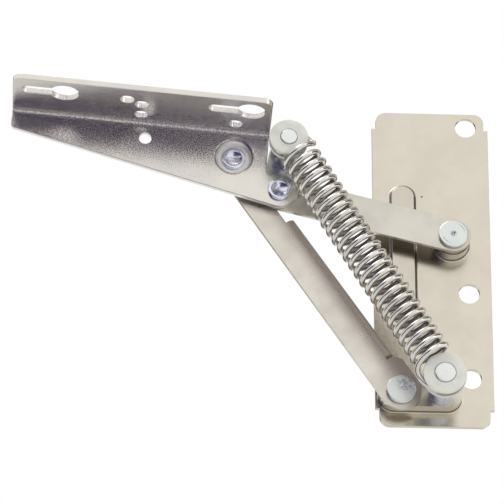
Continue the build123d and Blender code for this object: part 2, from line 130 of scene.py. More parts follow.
class NodeBoard:
    """A material's node tree, with short calls for the patterns that finishes are made of."""

    def __init__(self, name: str) -> None:
        """Start a tree that holds only the object's coordinates.

        Args:
            name: the material's name.
        """
        self.material = bpy.data.materials.new(name)
        self.material.use_nodes = True
        self.tree = self.material.node_tree
        self.tree.nodes.clear()
        self.coords = self.add("TexCoord", {})["Object"]

    def add(self, kind: str, inputs: Inputs, **settings: str) -> Outputs:
        """Outputs of a new node in this tree."""
        return add_node(self.tree, kind, inputs, **settings)

    def finish(self, inputs: Inputs) -> bpy.types.Material:
        """Material whose Principled shader has these inputs."""
        self.add("OutputMaterial", {"Surface": self.add("BsdfPrincipled", inputs)["BSDF"]})
        return self.material

    def placed(self, scale: Place, turn: float) -> Socket:
        """Object coordinates turned about Y by degrees, then scaled along the turned axes."""
        about_y = self.add("Mapping", {"Vector": self.coords, "Rotation": (0.0, radians(turn), 0.0)},
                           vector_type="POINT")["Vector"]
        return self.add("VectorMath", {0: about_y, 1: scale}, operation="MULTIPLY")["Vector"]

    def distance(self, vector: Socket, place: Place) -> Socket:
        """Distance of a vector from a place, in metres."""
        return self.add("VectorMath", {0: vector, 1: place}, operation="DISTANCE")["Value"]

    def height(self) -> Socket:
        """Distance in front of the plate's back face, in metres."""
        return self.times(self.add("SeparateXYZ", {"Vector": self.coords})["Y"], -1.0)

    def noise(self, vector: Socket, scale: float, detail: float = 2.0, roughness: float = 0.5) -> Socket:
        """Cloudy pattern from 0 to 1: its lumps per metre, its finer layers and the share of each."""
        return self.add("TexNoise", {"Vector": vector, "Scale": scale, "Detail": detail,
                                     "Roughness": roughness})["Fac"]

    def ramp(self, value: Socket, source: Point, target: Point = (0.0, 1.0)) -> Socket:
        """Value carried smoothly from one range (low, high) to another, and held at its ends."""
        return self.add("MapRange", {"Value": value, "From Min": source[0], "From Max": source[1],
                                     "To Min": target[0], "To Max": target[1]},
                        interpolation_type="SMOOTHSTEP")["Result"]

    def times(self, first: Socket, second: Socket | float) -> Socket:
        """Product of two values."""
        return self.add("Math", {0: first, 1: second}, operation="MULTIPLY")[0]

    def at_least(self, first: Socket, second: Socket | float) -> Socket:
        """Greater of two values."""
        return self.add("Math", {0: first, 1: second}, operation="MAXIMUM")[0]

    def mix(self, share: Socket, first: Colour | Socket, second: Colour | Socket) -> Socket:
        """Colour from the first to the second by a share; the node's colours are 6, 7 and 2."""
        return self.add("Mix", {0: share, 6: first, 7: second}, data_type="RGBA")[2]

    def bump(self, relief: Socket, strength: float, depth: float, normal: Socket | None = None) -> Socket:
        """Normal of a relief from 0 to 1, its depth in metres, over an earlier normal if there is one."""
        return self.add("Bump", {"Height": relief, "Strength": strength, "Distance": depth,
                                 "Normal": normal})["Normal"]


# ---- where a finish changes ----
@dataclass(frozen=True)
class Line:
    """Line square to Y, from which a finish measures distances.

    turn is its angle from +X in degrees, depth its place in front of the plate's back face and
    rise its distance from the Y axis, both in mm.
    """

    turn: float
    depth: float
    rise: float

    @classmethod
    def through(cls, point: Point, turn: float, depth: float, aside: float = 0.0) -> "Line":
        """Line at a turn in degrees, aside mm to the left of a point (x, z) in mm."""
        across = point[1] * cos(radians(turn)) - point[0] * sin(radians(turn))
        return cls(turn, depth, across + aside)


@dataclass(frozen=True)
class Zone:
    """Space round a line: whole up to the inner distance, gone at the outer one, in mm."""

    line: Line
    inner: float
    outer: float

    def share(self, board: NodeBoard) -> Socket:
        """Share of the zone: 1 near the line, down to 0 further off."""
        offset = board.distance(board.placed((0.0, 1.0, 1.0), self.line.turn),
                                (0.0, -self.line.depth * MM, self.line.rise * MM))
        return board.ramp(offset, (self.inner * MM, self.outer * MM), (1.0, 0.0))


@dataclass(frozen=True)
class Layer:
    """Slice of a piece between two heights in front of the plate's back face, with its own tint.

    low and high are in mm, and an end that is None stays open; fade is the height over which the
    slice comes and goes inside them; roughness is the least that it has.
    """

    tint: Colour
    low: float | None = None
    high: float | None = None
    fade: float = 0.2
    roughness: float = 0.0

    def share(self, board: NodeBoard) -> Socket:
        """Share of the slice at a point.

        Args:
            board: the material's nodes.

        Returns:
            1 inside the slice, 0 outside it.
        """
        height, shares = board.height(), []
        if self.low is not None:
            shares.append(board.ramp(height, (self.low * MM, (self.low + self.fade) * MM)))
        if self.high is not None:
            shares.append(board.ramp(height, ((self.high - self.fade) * MM, self.high * MM), (1.0, 0.0)))
        return shares[0] if len(shares) == 1 else board.times(*shares)


@dataclass(frozen=True)
class StainAndShade:
    """Round patch of another tint on a face square to Y, solid or broken up into flecks: a stain on the
    rivet heads, and painted shade at the plate's punch pip.

    centre is (x, z) and depth the face's place in front of the plate's back face, in mm; the patch
    is whole up to inner and gone at outer; mottle is the flecks' scale per metre, or 0 for none.
    """

    centre: Point
    depth: float
    inner: float
    outer: float
    tint: Colour
    mottle: float = 0.0
    mottle_range: Point = (0.44, 0.58)

    def share(self, board: NodeBoard) -> Socket:
        """Share of the patch at a point.

        Args:
            board: the material's nodes.

        Returns:
            1 in the patch, 0 off it.
        """
        x, z = self.centre
        offset = board.distance(board.coords, (x * MM, -self.depth * MM, z * MM))
        share = board.ramp(offset, (self.inner * MM, self.outer * MM), (1.0, 0.0))
        if self.mottle:
            flecks = board.noise(board.coords, self.mottle, detail=3.0, roughness=0.6)
            share = board.times(share, board.ramp(flecks, self.mottle_range))
        return share


# ---- finishes ----
@dataclass(frozen=True)
class PlatedSteel:
    """Zinc or nickel plating on steel: soft tint, faint grain and a fine orange peel.

    tint and tint_dark are the plating's light and dark clouds. Scales are per metre, turns in
    degrees and reliefs in mm. The flecks, the rougher fold, the painted shade, the layers (three
    painting shade, one painting light) and the patch of another tint come over the plating, each
    where its own zone says.
    """

    name: str
    tint: Colour
    tint_dark: Colour
    roughness: float
    roughness_spread: float = 0.05
    cloud_scale: float = 55.0
    cloud_range: Point = (0.35, 0.68)
    gloss_range: Point = (0.3, 0.7)
    relief: float = 0.1
    peel_scale: float = 2400.0
    peel_strength: float = 0.10
    grain_scale: float = 1500.0
    grain_run: float = 0.03
    grain_turn: float = 0.0
    grain_strength: float = 0.02
    fleck_tint: Colour | None = None
    fleck_range: Point = (0.42, 0.62)
    fleck_zone: Zone | None = None
    fold: Zone | None = None
    fold_roughness: float = 0.40
    shade: Zone | None = None
    shade_tint: Colour | None = None
    layers: tuple[Layer, ...] = ()
    stain_and_shade: StainAndShade | None = None

    def build(self) -> bpy.types.Material:
        """Make the material.

        Returns:
            The finished material.
        """
        board = NodeBoard(self.name)
        cloud = board.noise(board.coords, self.cloud_scale, detail=3.0, roughness=0.6)
        shares = [layer.share(board) for layer in self.layers]
        ends = (self.roughness - self.roughness_spread, self.roughness + self.roughness_spread)
        rough = board.ramp(cloud, self.gloss_range, ends)
        if self.fold:
            rough = board.at_least(rough, board.times(self.fold.share(board), self.fold_roughness))
        for layer, share in zip(self.layers, shares):
            if layer.roughness:
                rough = board.at_least(rough, board.times(share, layer.roughness))
        return board.finish({"Metallic": 1.0, "Base Color": self.colour(board, cloud, shares),
                             "Roughness": rough, "Normal": self.surface(board)})

    def colour(self, board: NodeBoard, cloud: Socket, shares: list[Socket]) -> Socket:
        """Colour of the plating and of all that lies over it.

        Args:
            board: the material's nodes.
            cloud: the plating's cloudy pattern.
            shares: share of each layer.

        Returns:
            The colour.
        """
        colour = board.mix(board.ramp(cloud, self.cloud_range), self.tint, self.tint_dark)
        if self.fleck_zone:
            pattern = board.noise(board.coords, self.peel_scale, detail=1.0)
            amount = board.times(board.ramp(pattern, self.fleck_range), self.fleck_zone.share(board))
            colour = board.mix(amount, colour, self.fleck_tint)
        if self.shade:
            colour = board.mix(self.shade.share(board), colour, self.shade_tint)
        # Several layers paint shade and one paints light, as marked at the finishes below.
        for layer, share in zip(self.layers, shares):
            colour = board.mix(share, colour, layer.tint)
        # The patch: a stain on the heads, painted shade at the plate's punch pip.
        if self.stain_and_shade:
            colour = board.mix(self.stain_and_shade.share(board), colour, self.stain_and_shade.tint)
        return colour

    def surface(self, board: NodeBoard) -> Socket:
        """Normal of the orange peel with the rolled sheet's grain over it.

        Args:
            board: the material's nodes.

        Returns:
            The normal.
        """
        peel = board.noise(board.coords, self.peel_scale, detail=2.0, roughness=0.6)
        grain = board.noise(board.placed((1.0, 1.0, self.grain_run), self.grain_turn), self.grain_scale)
        normal = board.bump(peel, self.peel_strength, self.relief * MM)
        return board.bump(grain, self.grain_strength, self.relief * MM, normal)


@dataclass(frozen=True)
class Nylon:
    """Natural nylon: pale, slightly translucent, with a soft gloss."""

    name: str
    tint: Colour
    roughness: float = 0.38
    refraction: float = 1.53
    glow: float = 0.25
    glow_reach: float = 1.2
    glow_colour: Colour = (1.0, 0.9, 0.6)
    darker: float = 0.9
    cloud_scale: float = 240.0
    cloud_range: Point = (0.35, 0.7)
    pore_scale: float = 1800.0
    pore_strength: float = 0.08
    relief: float = 0.1

    def build(self) -> bpy.types.Material:
        """Make the material.

        Returns:
            The finished material.
        """
        board = NodeBoard(self.name)
        cloud = board.ramp(board.noise(board.coords, self.cloud_scale, detail=3.0), self.cloud_range)
        dark = tuple(self.darker * channel for channel in self.tint)
        pores = board.noise(board.coords, self.pore_scale)
        return board.finish({"Base Color": board.mix(cloud, self.tint, dark), "Roughness": self.roughness,
                             "IOR": self.refraction, "Subsurface Weight": self.glow,
                             "Subsurface Radius": self.glow_colour,
                             "Subsurface Scale": self.glow_reach * MM,
                             "Normal": board.bump(pores, self.pore_strength, self.relief * MM)})


# ---- meshes ----
def finish_piece(piece: bpy.types.Object, material: bpy.types.Material, body: Body,
                 node: str) -> None:
    """Give a piece its material and its body, and hide the CAD node that it stands for.

    Args:
        piece: the new object, with its place in its mesh.
        material: its finish.
        body: the body that it rides on.
        node: the CAD node that it replaces.
    """
    piece.data.materials.clear()
    piece.data.materials.append(material)
    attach(piece, body.value)
    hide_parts(node)
    LOG.info("%s: %d faces on %s", piece.name, len(piece.data.polygons), body.value)


def new_mesh(name: str, points: np.ndarray, quads: np.ndarray) -> bpy.types.Object:
    """Object from arrays of points and of four-cornered faces, with doubles merged.

    Args:
        name: the object's name.
        points: array of shape (n, 3), in metres.
        quads: array of shape (m, 4) of point numbers.

    Returns:
        The new object, smooth all over.
    """
    mesh = bpy.data.meshes.new(name)
    mesh.from_pydata(points.tolist(), [], quads.tolist())
    tidy = bmesh.new()
    tidy.from_mesh(mesh)
    bmesh.ops.remove_doubles(tidy, verts=tidy.verts, dist=1e-7)
    bmesh.ops.recalc_face_normals(tidy, faces=tidy.faces)
    tidy.to_mesh(mesh)
    tidy.free()
    mesh.polygons.foreach_set("use_smooth", np.ones(len(mesh.polygons), bool))
    piece = bpy.data.objects.new(name, mesh)
    bpy.context.scene.collection.objects.link(piece)
    return piece


def grid_quads(rows: int, columns: int) -> np.ndarray:
    """Faces of a grid of points stored row by row, where each row closes on itself.

    Args:
        rows: number of rows.
        columns: points in each row.

    Returns:
        Array of shape (faces, 4).
    """
    row, column = np.meshgrid(np.arange(rows - 1), np.arange(columns), indexing="ij")
    follow = (column + 1) % columns
    return np.stack([row * columns + column, row * columns + follow,
                     (row + 1) * columns + follow, (row + 1) * columns + column], -1).reshape(-1, 4)


def rounded(outline: list[Corner], steps: int = 5) -> np.ndarray:
    """Outline with its corners rounded off.

    Each corner (x, y, r) is cut back by r over the tangent of half its angle and replaced by an
    arc; a corner with r = 0 stays sharp.

    Args:
        outline: corners as (x, y, radius), open at both ends.
        steps: runs in each arc.

    Returns:
        Array of (x, y) points.
    """
    points = []
    for index, (x, y, radius) in enumerate(outline):
        here = np.array((x, y))
        if radius == 0 or index in (0, len(outline) - 1):
            points.append(here)
            continue
        before = np.array(outline[index - 1][:2]) - here
        after = np.array(outline[index + 1][:2]) - here
        before /= np.linalg.norm(before)
        after /= np.linalg.norm(after)
        half = acos(max(-1.0, min(1.0, float(before @ after)))) / 2
        centre = here + (before + after) / np.linalg.norm(before + after) * radius / sin(half)
        start = here + before * radius / tan(half) - centre
        end = here + after * radius / tan(half) - centre
        first = atan2(start[1], start[0])
        sweep = (atan2(end[1], end[0]) - first + pi) % (2 * pi) - pi
        angles = first + sweep * np.linspace(0, 1, steps + 1)
        points.extend(centre + radius * np.stack([np.cos(angles), np.sin(angles)], -1))
    return np.array(points)


def turned(node: str, centre: Point, outline: list[Corner], around: int = FINE) -> bpy.types.Object:
    """Piece turned about a line parallel to Y.

    A point at radius r and height h of the profile, turned by t, lies at
    (cx + r cos t, -h, cz + r sin t).

    Args:
        node: the CAD node that it stands for, after which it is named.
        centre: (x, z) of the axis, in mm.
        outline: (radius, height, corner radius) in mm, from the axis or back to its start.
        around: faces in a full turn.

    Returns:
        The new object.
    """
    profile = rounded(outline)
    turn = np.linspace(0, 2 * pi, around, endpoint=False)
    radius, height = profile[:, :1], profile[:, 1:]
    x = centre[0] + radius * np.cos(turn)
    z = centre[1] + radius * np.sin(turn)
    points = np.stack([x, np.broadcast_to(-height, x.shape), z], -1).reshape(-1, 3) * MM
    return new_mesh(node + "_turned", points, grid_quads(len(profile), around))


# ---- the stay's own places, in mm ----
def in_mm(metres: float) -> float:
    """Measure of the frame in mm, without the noise of its single precision."""
    return round(metres / MM, 4)


def pivot_of(joint: str) -> Point:
    """Place (x, z) of a joint of the frame."""
    x, _, z = next(row["pos_m"] for row in frame["joints"] if row["name"] == joint)
    return (in_mm(x), in_mm(z))


def centre_of(node: str) -> Point:
    """Middle (x, z) of a CAD node's box."""
    low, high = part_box(node)
    return (in_mm((low.x + high.x) / 2), in_mm((low.z + high.z) / 2))


def back_of(node: str) -> float:
    """Height of a CAD node's back."""
    return in_mm(-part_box(node)[1].y)


def front_of(node: str) -> float:
    """Height of a CAD node's front."""
    return in_mm(-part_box(node)[0].y)


@dataclass(frozen=True)
class Layout:
    """Pivots of the open linkage as (x, z), and heights in front of the plate's back face."""

    sheet: float = 1.5
    bracket_sheet: float = 2.0
    face_gap: float = 0.1
    short_pivot: Point = pivot_of("short_arm_pivot")
    long_pivot: Point = pivot_of("long_arm_pivot")
    lower_post: Point = pivot_of("spring_pivot")
    bracket_pivot: Point = centre_of("bracket_rivet")
    floating_pivot: Point = centre_of("floating_rivet_head")
    upper_post: Point = centre_of("upper_spring_post")
    boss_top: float = front_of("base_plate")
    long_arm_front: float = front_of("long_arm")
    short_arm_back: float = back_of("short_arm")
    short_arm_front: float = front_of("short_arm")
    roller_back: float = back_of("lower_spring_roller")
    roller_front: float = front_of("lower_spring_roller")
    roller_back_wall: float = 1.0
    roller_front_wall: float = 1.6

    @property
    def boss_inside(self) -> float:
        """Inside of the plate's bosses."""
        return self.boss_top - self.sheet

    @property
    def long_arm_back(self) -> float:
        """Back of the long arm's flat."""
        return self.boss_top + self.face_gap

    @property
    def dimple_floor(self) -> float:
        """Front of the bracket's dimple, which lies on the long arm."""
        return self.long_arm_front + self.face_gap + self.bracket_sheet

    @property
    def web_front(self) -> float:
        """Front of the bracket's web, which lies on the short arm."""
        return self.short_arm_front + self.face_gap + self.bracket_sheet

    @property
    def groove(self) -> Point:
        """Back and front of the rollers' grooves."""
        return (self.roller_back + self.roller_back_wall, self.roller_front - self.roller_front_wall)

    @property
    def spring_height(self) -> float:
        """Axis of the spring, in the middle of the grooves."""
        return sum(self.groove) / 2

    @staticmethod
    def turn_between(start: Point, end: Point) -> float:
        """Angle from +X of the way from one point to another, in degrees."""
        return degrees(atan2(end[1] - start[1], end[0] - start[0]))


LAYOUT = Layout()
FOLD = Line(turn=-4.9, depth=12.05, rise=31.5)
RIB = Line.through(LAYOUT.long_pivot, LAYOUT.turn_between(LAYOUT.long_pivot, LAYOUT.floating_pivot),
                   depth=5.0, aside=-7.0)
COIL = Line.through(LAYOUT.lower_post, LAYOUT.turn_between(LAYOUT.lower_post, LAYOUT.upper_post),
                    depth=LAYOUT.spring_height)

PLATE_STEEL = PlatedSteel(
    "plate_plating", (0.72, 0.67, 0.57), (0.68, 0.63, 0.53), 0.22,
    # Painted shade: a dark tint on the drawn walls between 1.52 and 2.85 mm outlines the bead and the feet
    # of the bosses.
    layers=(Layer((0.22, 0.19, 0.19), low=1.52, high=2.85, fade=0.25),),
    # Painted shade: a dark dot stands for the shade in the plate's punch pip.
    stain_and_shade=StainAndShade((-15.7, 20.8), LAYOUT.sheet, 0.15, 0.5, (0.15, 0.13, 0.12)))
SHORT_ARM_STEEL = PlatedSteel(
    "short_arm_plating", (0.70, 0.67, 0.59), (0.62, 0.58, 0.51), 0.30, grain_turn=-14.0,
    # Painted shade: a dark tint on the arm's back, behind 8.35 mm, so that the plate below reflects a dark
    # band under the arm.
    layers=(Layer((0.36, 0.34, 0.33), high=8.35, roughness=0.30),))
LONG_ARM_STEEL = PlatedSteel(
    "long_arm_plating", (0.77, 0.73, 0.65), (0.69, 0.64, 0.56), 0.30, grain_turn=-56.0, peel_scale=1900.0,
    fleck_tint=(0.44, 0.38, 0.35), fleck_zone=Zone(RIB, 3.0, 10.0),
    fold=Zone(RIB, 4.0, 10.0), fold_roughness=0.50,
    shade=Zone(RIB, 2.0, 10.5), shade_tint=(0.46, 0.40, 0.36))
BRACKET_STEEL = PlatedSteel(
    "bracket_plating", (0.77, 0.73, 0.66), (0.72, 0.69, 0.66), 0.17, peel_scale=2300.0, peel_strength=0.6,
    # Painted light: a near-white tint behind 11.4 mm lightens the dimple's wall and the bracket's cut edges.
    layers=(Layer((0.98, 0.96, 0.92), high=11.4, roughness=0.50),
            # Painted shade: a dark band from 11.1 to 11.69 mm rings the dimple's mouth and runs along the
            # front of the cut edges.
            Layer((0.30, 0.27, 0.28), low=11.1, high=11.69, fade=0.25)),
    fleck_tint=(0.34, 0.30, 0.37), fleck_zone=Zone(FOLD, 6.0, 17.0), fold=Zone(FOLD, 0.6, 1.9))
PIN_ZINC = PlatedSteel("pin_zinc", (0.80, 0.82, 0.92), (0.62, 0.63, 0.74), 0.15, peel_strength=0.35)
SHORT_HEAD_ZINC = PlatedSteel(
    "short_arm_head_zinc", (0.77, 0.80, 0.76), (0.72, 0.75, 0.72), 0.26, peel_strength=0.12,
    stain_and_shade=StainAndShade(LAYOUT.short_pivot, 10.8, 0.7, 1.5, (0.46, 0.53, 0.58)))
LONG_HEAD_ZINC = PlatedSteel(
    "long_arm_head_zinc", (0.80, 0.82, 0.79), (0.75, 0.77, 0.75), 0.26, peel_strength=0.12,
    stain_and_shade=StainAndShade((-22.4, -53.4), 9.1, 1.8, 4.6, (0.46, 0.46, 0.58), mottle=900.0))
POST_ZINC = PlatedSteel(
    "post_zinc", (0.74, 0.80, 0.92), (0.64, 0.70, 0.82), 0.26, peel_strength=0.15,
    layers=(Layer((0.80, 0.82, 0.80), low=24.9),))
WIRE_STEEL = PlatedSteel(
    "wire_plating", (0.80, 0.78, 0.73), (0.68, 0.66, 0.61), 0.14, peel_strength=0.05,
    shade=Zone(COIL, 5.2, 6.4), shade_tint=(0.34, 0.31, 0.30))
ROLLER_NYLON = Nylon("roller_nylon", (0.80, 0.80, 0.73))


# ---- the stay's pieces ----
@dataclass
class Sheets:
    """The pressed and bent sheets, which keep their solids' form.

    edge is the width of the eased edges in mm, sharp the least turn of an edge that is eased and
    flat the greatest turn inside a flat face, both in degrees.
    """

    edge: float = 0.24
    edge_faces: int = 2
    sharp: float = 32.0
    flat: float = 0.3
    lead: int = 100

    def eased(self, node: str) -> bpy.types.Object:
        """Copy of a CAD sheet with the sheared edges of its outline and holes eased.

        Args:
            node: the CAD node to copy.

        Returns:
            The new object.
        """
        piece = bpy.data.objects.new(node + "_sheet", frame["nodes"][node].data.copy())
        bpy.context.scene.collection.objects.link(piece)
        tidy = bmesh.new()
        tidy.from_mesh(piece.data)
        bmesh.ops.remove_doubles(tidy, verts=tidy.verts, dist=1e-6)
        bmesh.ops.dissolve_degenerate(tidy, edges=tidy.edges, dist=1e-6)
        bmesh.ops.dissolve_limit(tidy, angle_limit=radians(self.flat), verts=tidy.verts, edges=tidy.edges)
        tidy.to_mesh(piece.data)
        tidy.free()
        piece.data.polygons.foreach_set("use_smooth", np.ones(len(piece.data.polygons), bool))
        bevel = piece.modifiers.new("eased_edges", "BEVEL")
        bevel.width = self.edge * MM
        bevel.segments = self.edge_faces
        bevel.limit_method = "ANGLE"
        bevel.angle_limit = radians(self.sharp)
        bevel.use_clamp_overlap = True
        weigh = piece.modifiers.new("flat_faces_lead", "WEIGHTED_NORMAL")
        weigh.mode = "FACE_AREA"
        weigh.weight = self.lead
        return piece

    def build(self) -> None:
        """Copy each sheet, ease its edges and dress it."""
        for node, finish, slot, body in (("base_plate", PLATE_STEEL, Slot.PLATE, Body.BASE),
                                         ("short_arm", SHORT_ARM_STEEL, Slot.ARMS, Body.SHORT_ARM),
                                         ("long_arm", LONG_ARM_STEEL, Slot.ARMS, Body.LONG_ARM),
                                         ("lid_bracket", BRACKET_STEEL, Slot.BRACKET, Body.BRACKET)):
            finish_piece(self.eased(node), finish.build(), body, node)


@dataclass
class PlateRivets:
    """Rivets of the plate's two bosses and the spacer under the short arm, with sizes in mm."""

    layout: Layout = LAYOUT
    shank: float = 2.5
    tail: float = 3.5
    tail_height: float = 1.0
    tail_edge: float = 0.3
    head: float = 5.1
    head_height: float = 1.1
    head_edge: float = 0.4
    ring: float = 3.85
    ring_half_width: float = 0.25
    dot_rim: float = 1.0
    dot_side: float = 0.55
    dot_floor: float = 0.35
    dot_rim_share: float = 0.3
    dot_edge_share: float = 0.2
    spacer: float = 5.2
    spacer_bore: float = 2.55
    crisp: float = 0.1
    soft: float = 0.15

    def rivet(self, arm_front: float, ring_depth: float, dot_depth: float) -> list[Corner]:
        """Outline of a flat-headed rivet closed inside a boss, with a punch mark and a turned ring.

        Args:
            arm_front: front of the arm that it holds, in mm.
            ring_depth: depth of the ring, in mm.
            dot_depth: depth of the punch mark, in mm.

        Returns:
            Corners from axis to axis.
        """
        seat = arm_front + self.layout.face_gap
        top = seat + self.head_height
        inside = self.layout.boss_inside
        end = inside - self.tail_height
        return [(0, end, 0), (self.tail, end, self.tail_edge), (self.tail, inside, self.crisp),
                (self.shank, inside, 0), (self.shank, seat, 0), (self.head, seat, self.crisp),
                (self.head, top, self.head_edge), (self.ring + self.ring_half_width, top, 0.2),
                (self.ring, top - ring_depth, self.soft), (self.ring - self.ring_half_width, top, 0.2),
                (self.dot_rim, top, 0.3),
                (self.dot_side, top - self.dot_rim_share * dot_depth, self.crisp),
                (self.dot_floor, top - dot_depth, self.dot_edge_share * dot_depth),
                (0, top - dot_depth, 0)]

    def washer(self) -> list[Corner]:
        """Outline of the spacer that lifts the short arm clear of the long one."""
        low, high = self.layout.boss_top, self.layout.short_arm_back - self.layout.face_gap
        return [(self.spacer_bore, low, self.crisp), (self.spacer, low, self.soft),
                (self.spacer, high, self.soft), (self.spacer_bore, high, self.crisp),
                (self.spacer_bore, low, 0)]

    def build(self) -> None:
        """Make and dress the rivets and the spacer."""
        lay = self.layout
        short_zinc, long_zinc = SHORT_HEAD_ZINC.build(), LONG_HEAD_ZINC.build()
        short, long = self.rivet(lay.short_arm_front, 0.06, 0.4), self.rivet(lay.long_arm_front, 0.01, 0.02)
        for node, centre, outline, around, zinc in (
                ("short_arm_rivet", lay.short_pivot, short, FINE, short_zinc),
                ("long_arm_rivet", lay.long_pivot, long, FINE, long_zinc),
                ("short_arm_spacer", lay.short_pivot, self.washer(), PLAIN, short_zinc)):
            finish_piece(turned(node, centre, outline, around), zinc, Body.BASE, node)


@dataclass
class BracketRivets:
    """Dished rivets of the bracket's web, with sizes in mm.

    The bowl's depth at a share s of its radius is rim + bowl (1 - s squared).
    """

    layout: Layout = LAYOUT
    shank: float = 2.2
    head: float = 4.1
    head_height: float = 1.0
    head_edge: float = 0.45
    dish: float = 2.9
    rim: float = 0.15
    bowl: float = 0.65
    bowl_shares: tuple[float, ...] = (0.95, 0.85, 0.75, 0.65, 0.55, 0.45, 0.35, 0.25, 0.15, 0.07, 0)
    tail: float = 3.5
    tail_height: float = 1.0
    tail_edge: float = 0.3
    sunk_tail: float = 3.3
    sunk_neck: float = 2.5
    sunk_depth: float = 0.8
    crisp: float = 0.1

    def dished_head(self, seat: float) -> list[Corner]:
        """Outline of a head with a bowl in its middle.

        Args:
            seat: height of its underside, in mm.

        Returns:
            Corners from the shank to the axis.
        """
        top = seat + self.head_height
        bowl = [(self.dish * share, top - self.rim - self.bowl * (1 - share ** 2), 0)
                for share in self.bowl_shares]
        return [(self.shank, seat, 0), (self.head, seat, self.crisp), (self.head, top, self.head_edge),
                (self.dish, top, 0.2), *bowl]

    def short_arm_pin(self) -> list[Corner]:
        """Outline of the short arm's outer rivet, with a flush countersunk tail.

        Returns:
            Corners from axis to axis.
        """
        back = self.layout.short_arm_back
        neck = back + self.sunk_depth
        return [(0, back, 0), (self.sunk_tail, back, 0.05), (self.sunk_neck, neck, 0), (self.shank, neck, 0),
                *self.dished_head(self.layout.web_front + self.layout.face_gap)]

    def floating_head(self) -> list[Corner]:
        """Outline of the floating pivot's head, on the bracket's side."""
        end = self.layout.long_arm_front + self.layout.face_gap
        return [(0, end, 0), (self.shank, end, 0), *self.dished_head(self.layout.dimple_floor)]

    def floating_tail(self) -> list[Corner]:
        """Outline of the floating pivot's closed tail, on the long arm's side.

        Returns:
            Corners from axis to axis.
        """
        back, front = self.layout.long_arm_back, self.layout.long_arm_front
        end = back - self.tail_height
        return [(0, end, 0), (self.tail, end, self.tail_edge), (self.tail, back, self.crisp),
                (self.shank, back, 0), (self.shank, front, 0), (0, front, 0)]

    def build(self) -> None:
        """Make and dress the three pieces."""
        lay, zinc = self.layout, PIN_ZINC.build()
        for node, centre, outline, around, body in (
                ("bracket_rivet", lay.bracket_pivot, self.short_arm_pin(), FINE, Body.SHORT_ARM),
                ("floating_rivet_head", lay.floating_pivot, self.floating_head(), FINE, Body.BRACKET),
                ("floating_rivet_tail", lay.floating_pivot, self.floating_tail(), PLAIN, Body.LONG_ARM)):
            finish_piece(turned(node, centre, outline, around), zinc, body, node)


@dataclass(frozen=True)
class Post:
    """Shouldered post that carries one end of the spring, with sizes in mm.

    sheet_back and sheet_front are the heights between which it is riveted, stand is how far its
    journal stands out of the roller and dip the hollow in the middle of its end.
    """

    node: str
    body: Body
    centre: Point
    sheet_back: float
    sheet_front: float
    tail: float
    shank: float
    shoulder: float
    foot_edge: float
    shoulder_edge: float
    journal: float
    tail_height: float = 1.0
    tail_edge: float = 0.3
    tail_foot_edge: float = 0.1
    stand: float = 0.2
    journal_edge: float = 0.3
    dip_radius: float = 0.5
    dip_edge: float = 0.6
    dip: float = 0.05

    def outline(self) -> list[Corner]:
        """Outline of the post.

        Returns:
            Corners from axis to axis.
        """
        tail_end = self.sheet_back - self.tail_height
        back, end = LAYOUT.roller_back, LAYOUT.roller_front + self.stand
        return [(0, tail_end, 0), (self.tail, tail_end, self.tail_edge),
                (self.tail, self.sheet_back, self.tail_foot_edge), (self.shank, self.sheet_back, 0),
                (self.shank, self.sheet_front, 0), (self.shoulder, self.sheet_front, self.foot_edge),
                (self.shoulder, back, self.shoulder_edge), (self.journal, back, 0),
                (self.journal, end, self.journal_edge), (self.dip_radius, end, self.dip_edge),
                (0, end - self.dip, 0)]


@dataclass(frozen=True)
class Roller:
    """Grooved nylon bush that the spring's end loop lies round, with sizes in mm.

    ring is the distance of its fine turned ring from the bore, and mouth the bevel of the bore.
    """

    node: str
    body: Body
    centre: Point
    bore: float
    groove: float
    rim: float
    back_edge: float = 0.25
    front_edge: float = 0.45
    wall_edge: float = 0.2
    groove_edge: float = 0.5
    ring: float = 1.15
    ring_half_width: float = 0.15
    ring_depth: float = 0.06
    ring_edge: float = 0.1
    mouth: float = 0.3
    crisp: float = 0.05

    def outline(self) -> list[Corner]:
        """Outline of the roller.

        Returns:
            Corners back to the first.
        """
        back, front = LAYOUT.roller_back, LAYOUT.roller_front
        inner_back, inner_front = LAYOUT.groove
        ring = self.bore + self.ring
        return [(self.bore, back, 0), (self.rim, back, self.back_edge),
                (self.rim, inner_back, self.wall_edge), (self.groove, inner_back, self.groove_edge),
                (self.groove, inner_front, self.groove_edge), (self.rim, inner_front, self.wall_edge),
                (self.rim, front, self.front_edge), (ring + self.ring_half_width, front, self.ring_edge),
                (ring, front - self.ring_depth, self.crisp),
                (ring - self.ring_half_width, front, self.ring_edge),
                (self.bore + self.mouth, front, self.crisp), (self.bore, front - self.mouth, 0),
                (self.bore, back, 0)]


@dataclass
class SpringPosts:
    """The posts at the two ends of the spring."""

    lower: Post = Post(
        "lower_spring_post", Body.BASE, LAYOUT.lower_post, LAYOUT.boss_inside, LAYOUT.boss_top,
        tail=3.0, shank=2.0, shoulder=4.1, foot_edge=0.15, shoulder_edge=0.2, journal=3.5)
    upper: Post = Post(
        "upper_spring_post", Body.SHORT_ARM, LAYOUT.upper_post,
        LAYOUT.short_arm_back, LAYOUT.short_arm_front,
        tail=3.5, shank=2.8, shoulder=5.5, foot_edge=0.2, shoulder_edge=0.3, journal=2.8)

    def build(self) -> None:
        """Make and dress both posts."""
        zinc = POST_ZINC.build()
        for post in (self.lower, self.upper):
            piece = turned(post.node, post.centre, post.outline())
            finish_piece(piece, zinc, post.body, post.node)


